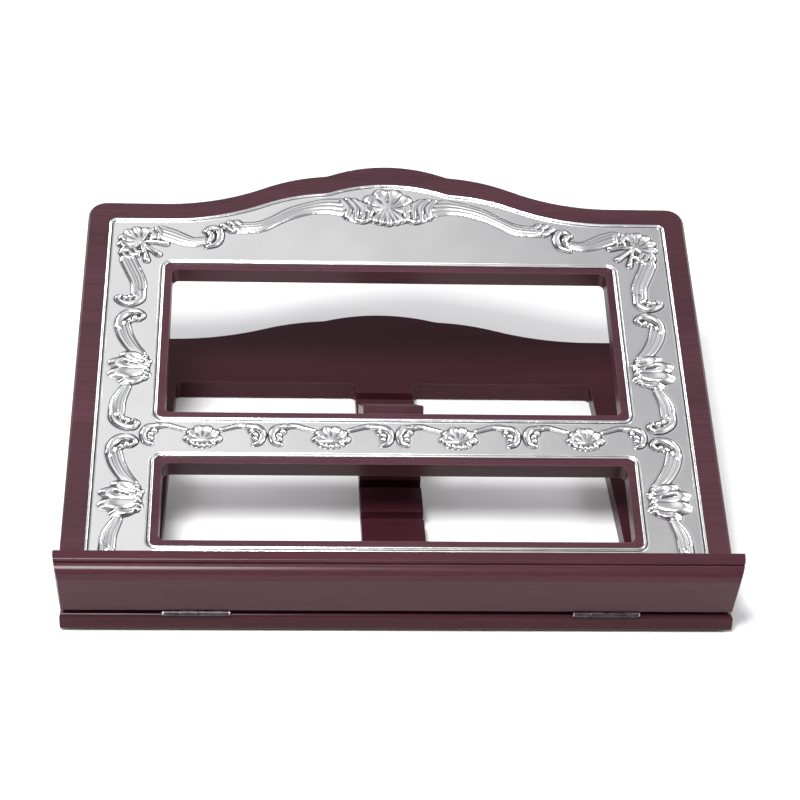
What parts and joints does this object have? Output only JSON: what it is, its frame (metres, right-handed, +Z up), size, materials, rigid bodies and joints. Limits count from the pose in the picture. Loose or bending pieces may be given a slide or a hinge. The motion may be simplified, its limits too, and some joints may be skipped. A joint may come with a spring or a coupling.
{
  "type": "folding book stand",
  "caption": "Folding tabletop book stand: windowed reading board with embossed silver cover, front ledge, notched base and hinged strut.",
  "frame": {"origin": "middle of the footprint at the underside of the felt pads, with the stand open at its shallowest working tilt", "axes": "+X along the ledge, +Y from the reader to the back, +Z up"},
  "size_m": [0.401, 0.3743, 0.1476],
  "materials": {
    "mahogany_base": "dark mahogany stain under satin lacquer",
    "mahogany_board": "dark mahogany stain under satin lacquer",
    "mahogany_ledge": "dark mahogany stain under satin lacquer",
    "mahogany_strut": "dark mahogany stain under satin lacquer",
    "beech_dowel": "bare beech",
    "silver_sheet": "polished embossed silver-coloured sheet",
    "dark_felt": "felt",
    "hinge_metal": "dull darkened steel",
    "hinge_pin_steel": "plain steel wire",
    "screw_steel": "dull steel"
  },
  "bodies": {
    "base": {"base_board": "mahogany_base", "felt_pads": "dark_felt", "left_hinge_base_leaf": "hinge_metal", "right_hinge_base_leaf": "hinge_metal", "left_hinge_pin": "hinge_pin_steel", "right_hinge_pin": "hinge_pin_steel", "hinge_base_screws": "screw_steel"},
    "reading_board": {"reading_board": "mahogany_board", "silver_plate": "silver_sheet", "book_ledge": "mahogany_ledge", "ledge_dowels": "beech_dowel", "left_hinge_board_leaf": "hinge_metal", "right_hinge_board_leaf": "hinge_metal", "hinge_ledge_screws": "screw_steel", "strut_hinge_board_leaf": "hinge_metal", "strut_hinge_pin": "hinge_pin_steel", "strut_hinge_board_screws": "screw_steel"},
    "strut": {"support_strut": "mahogany_strut", "strut_hinge_strut_leaf": "hinge_metal", "strut_hinge_strut_screws": "screw_steel"}
  },
  "joints": [
    {"name": "panel_tilt", "type": "hinge", "parent": "base", "child": "reading_board", "pos_m": [0, -0.17415, 0.01435], "axis": [1, 0, 0], "range_deg": [-20, 22]},
    {"name": "strut_swing", "type": "hinge", "parent": "reading_board", "child": "strut", "pos_m": [0, -0.04285, 0.06294], "axis": [1, 0, 0], "range_deg": [-56.5, 51]}
  ],
  "couplings": [
    {"joint": "strut_swing", "follows": "panel_tilt", "ratio": -2.55}
  ]
}
